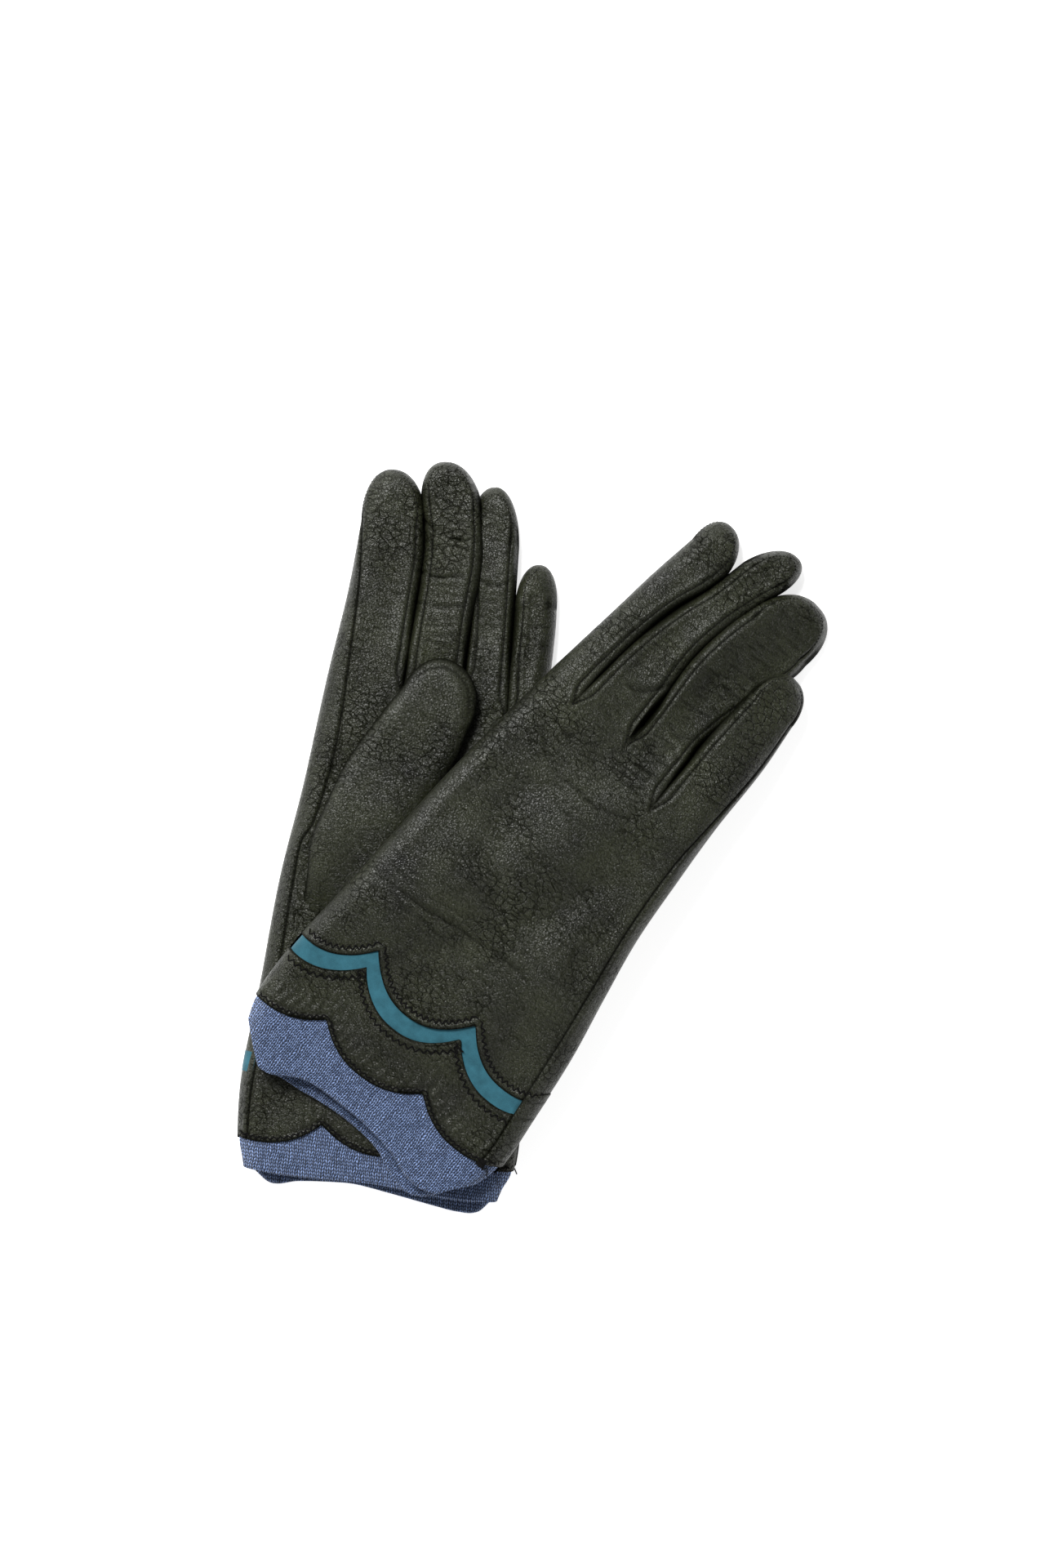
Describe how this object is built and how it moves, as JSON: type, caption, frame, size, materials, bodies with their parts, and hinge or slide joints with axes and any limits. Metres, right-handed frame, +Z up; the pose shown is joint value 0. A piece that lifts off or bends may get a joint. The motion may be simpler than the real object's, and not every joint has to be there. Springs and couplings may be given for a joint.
{
  "type": "leather gloves",
  "caption": "Pair of lined dark olive leather dress gloves with scalloped cuffs, a teal suede band and blue knitted inner cuffs, laid crosswise.",
  "frame": {"origin": "middle of the pair's footprint, on the surface it lies on", "axes": "+Z up from the surface, +Y the way the gloves' fingers mostly point, +X towards the fingertips of the upper glove"},
  "size_m": [0.189, 0.242, 0.0267],
  "materials": {
    "leather": "satin",
    "suede": "rough",
    "cuff_knit": "matte",
    "lining_knit": "matte"
  },
  "bodies": {
    "left_hand": {"left_back_panel": "leather", "left_palm_panel": "leather", "left_suede_band": "suede", "left_cuff_panel": "leather", "left_knit_cuff": "cuff_knit", "left_hand_lining": "lining_knit", "left_thumb": "leather", "left_thumb_lining": "lining_knit"},
    "left_index": {"left_index_back_strip": "leather", "left_index_palm_strip": "leather", "left_index_right_fourchette": "leather", "left_index_lining": "lining_knit"},
    "left_middle": {"left_middle_back_strip": "leather", "left_middle_palm_strip": "leather", "left_middle_left_fourchette": "leather", "left_middle_right_fourchette": "leather", "left_middle_lining": "lining_knit"},
    "left_ring": {"left_ring_back_strip": "leather", "left_ring_palm_strip": "leather", "left_ring_left_fourchette": "leather", "left_ring_right_fourchette": "leather", "left_ring_lining": "lining_knit"},
    "left_little": {"left_little_back_strip": "leather", "left_little_palm_strip": "leather", "left_little_left_fourchette": "leather", "left_little_lining": "lining_knit"},
    "right_hand": {"right_back_panel": "leather", "right_palm_panel": "leather", "right_suede_band": "suede", "right_cuff_panel": "leather", "right_knit_cuff": "cuff_knit", "right_hand_lining": "lining_knit", "right_thumb": "leather", "right_thumb_lining": "lining_knit"},
    "right_index": {"right_index_back_strip": "leather", "right_index_palm_strip": "leather", "right_index_right_fourchette": "leather", "right_index_lining": "lining_knit"},
    "right_middle": {"right_middle_back_strip": "leather", "right_middle_palm_strip": "leather", "right_middle_left_fourchette": "leather", "right_middle_right_fourchette": "leather", "right_middle_lining": "lining_knit"},
    "right_ring": {"right_ring_back_strip": "leather", "right_ring_palm_strip": "leather", "right_ring_left_fourchette": "leather", "right_ring_right_fourchette": "leather", "right_ring_lining": "lining_knit"},
    "right_little": {"right_little_back_strip": "leather", "right_little_palm_strip": "leather", "right_little_left_fourchette": "leather", "right_little_lining": "lining_knit"},
    "left_thumb": {"left_thumb_tip": "leather", "left_thumb_tip_lining": "lining_knit"}
  },
  "joints": [
    {"name": "right_glove_lift", "type": "slide", "parent": "left_hand", "child": "right_hand", "axis": [0, 0, 1], "range_m": [0, 0.12]},
    {"name": "left_index_bend", "type": "hinge", "parent": "left_hand", "child": "left_index", "pos_m": [-0.05156, 0.06065, 0.0099], "axis": [0.9871, -0.1599, 0], "range_deg": [0, 85]},
    {"name": "left_middle_bend", "type": "hinge", "parent": "left_hand", "child": "left_middle", "pos_m": [-0.02993, 0.06094, 0.0099], "axis": [0.9871, -0.1599, 0], "range_deg": [0, 85]},
    {"name": "left_ring_bend", "type": "hinge", "parent": "left_hand", "child": "left_ring", "pos_m": [-0.01389, 0.05791, 0.0099], "axis": [0.9921, -0.1253, 0], "range_deg": [0, 85]},
    {"name": "left_little_bend", "type": "hinge", "parent": "left_hand", "child": "left_little", "pos_m": [0.00042, 0.06114, 0.0099], "axis": [0.9973, -0.0732, 0], "range_deg": [0, 85]},
    {"name": "left_thumb_tip_lift", "type": "hinge", "parent": "left_hand", "child": "left_thumb", "pos_m": [-0.03017, 0.04224, 0.0165], "axis": [0.7965, -0.6046, 0], "range_deg": [0, 60]},
    {"name": "right_index_bend", "type": "hinge", "parent": "right_hand", "child": "right_index", "pos_m": [0.02479, 0.06377, 0.00839], "axis": [-0.6756, 0.7373, 0], "range_deg": [0, 85]},
    {"name": "right_middle_bend", "type": "hinge", "parent": "right_hand", "child": "right_middle", "pos_m": [0.03852, 0.05575, 0.00792], "axis": [-0.7373, 0.6756, 0], "range_deg": [0, 85]},
    {"name": "right_ring_bend", "type": "hinge", "parent": "right_hand", "child": "right_ring", "pos_m": [0.05291, 0.04344, 0.00814], "axis": [-0.7604, 0.6494, 0], "range_deg": [0, 85]},
    {"name": "right_little_bend", "type": "hinge", "parent": "right_hand", "child": "right_little", "pos_m": [0.06298, 0.02438, 0.00998], "axis": [-0.7604, 0.6494, 0], "range_deg": [0, 85]}
  ]
}
